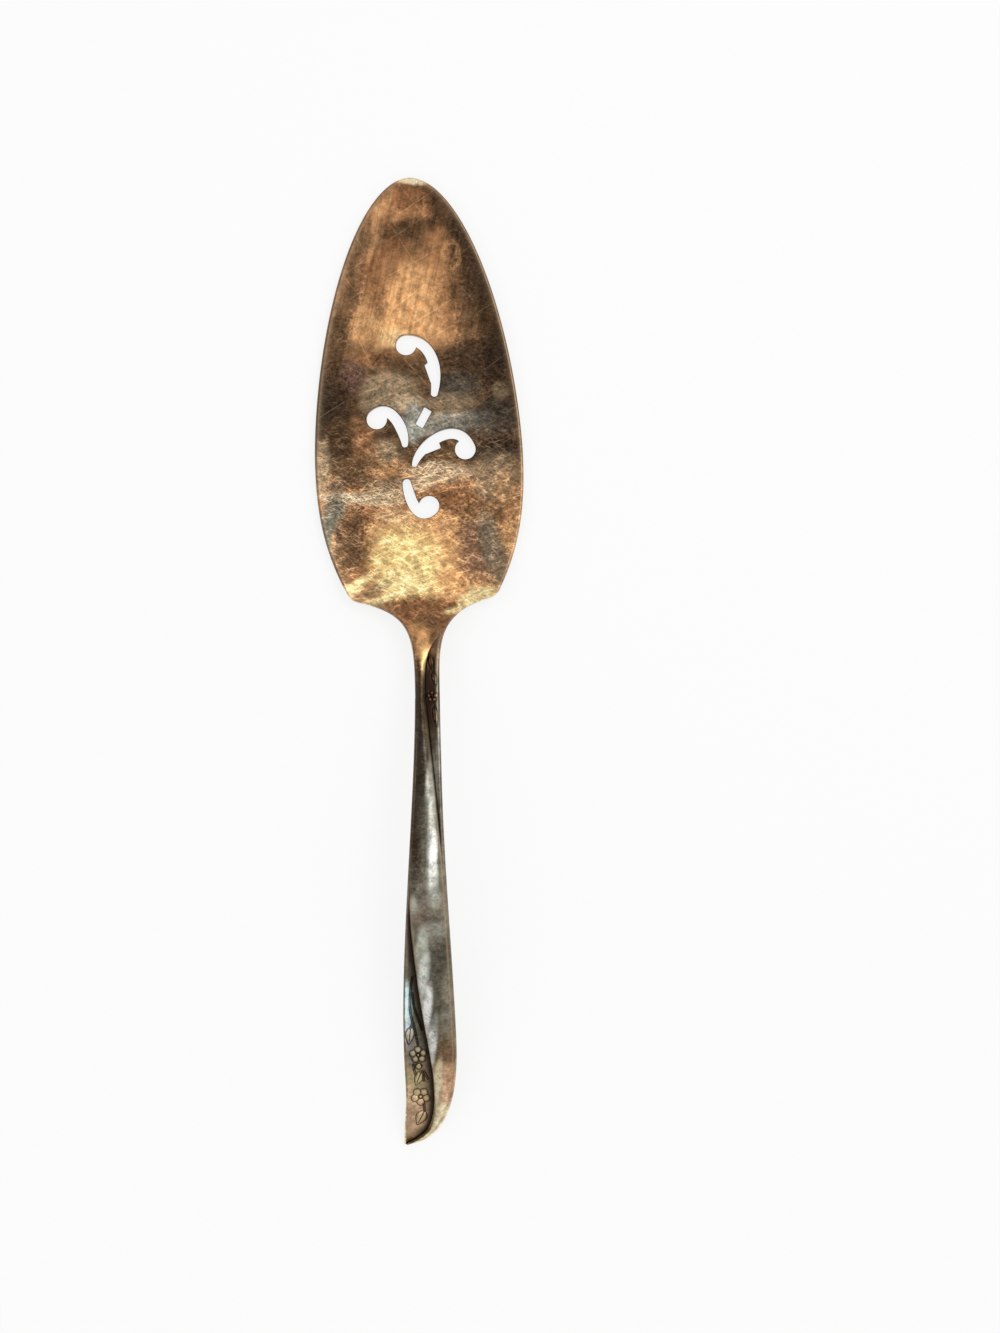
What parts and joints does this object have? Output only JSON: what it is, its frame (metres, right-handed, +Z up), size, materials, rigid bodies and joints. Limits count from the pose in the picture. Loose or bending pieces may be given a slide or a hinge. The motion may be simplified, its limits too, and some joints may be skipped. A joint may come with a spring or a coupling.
{
  "type": "pie server",
  "caption": "One-piece pierced pie server with a broad pointed blade, lifted neck and an arched handle whose middle lies like a folded lapel.",
  "frame": {"origin": "on the flat underside of the blade, on its centre line, at the widest place", "axes": "+Y along the blade to its tip, +Z up from the table, +X to the right seen from above with the tip ahead"},
  "size_m": [0.0534, 0.2474, 0.019],
  "materials": {
    "silver_plate": "tarnished silver plate, brown and golden, finely scratched"
  },
  "bodies": {
    "root": {"pie_server": "silver_plate"}
  },
  "joints": []
}
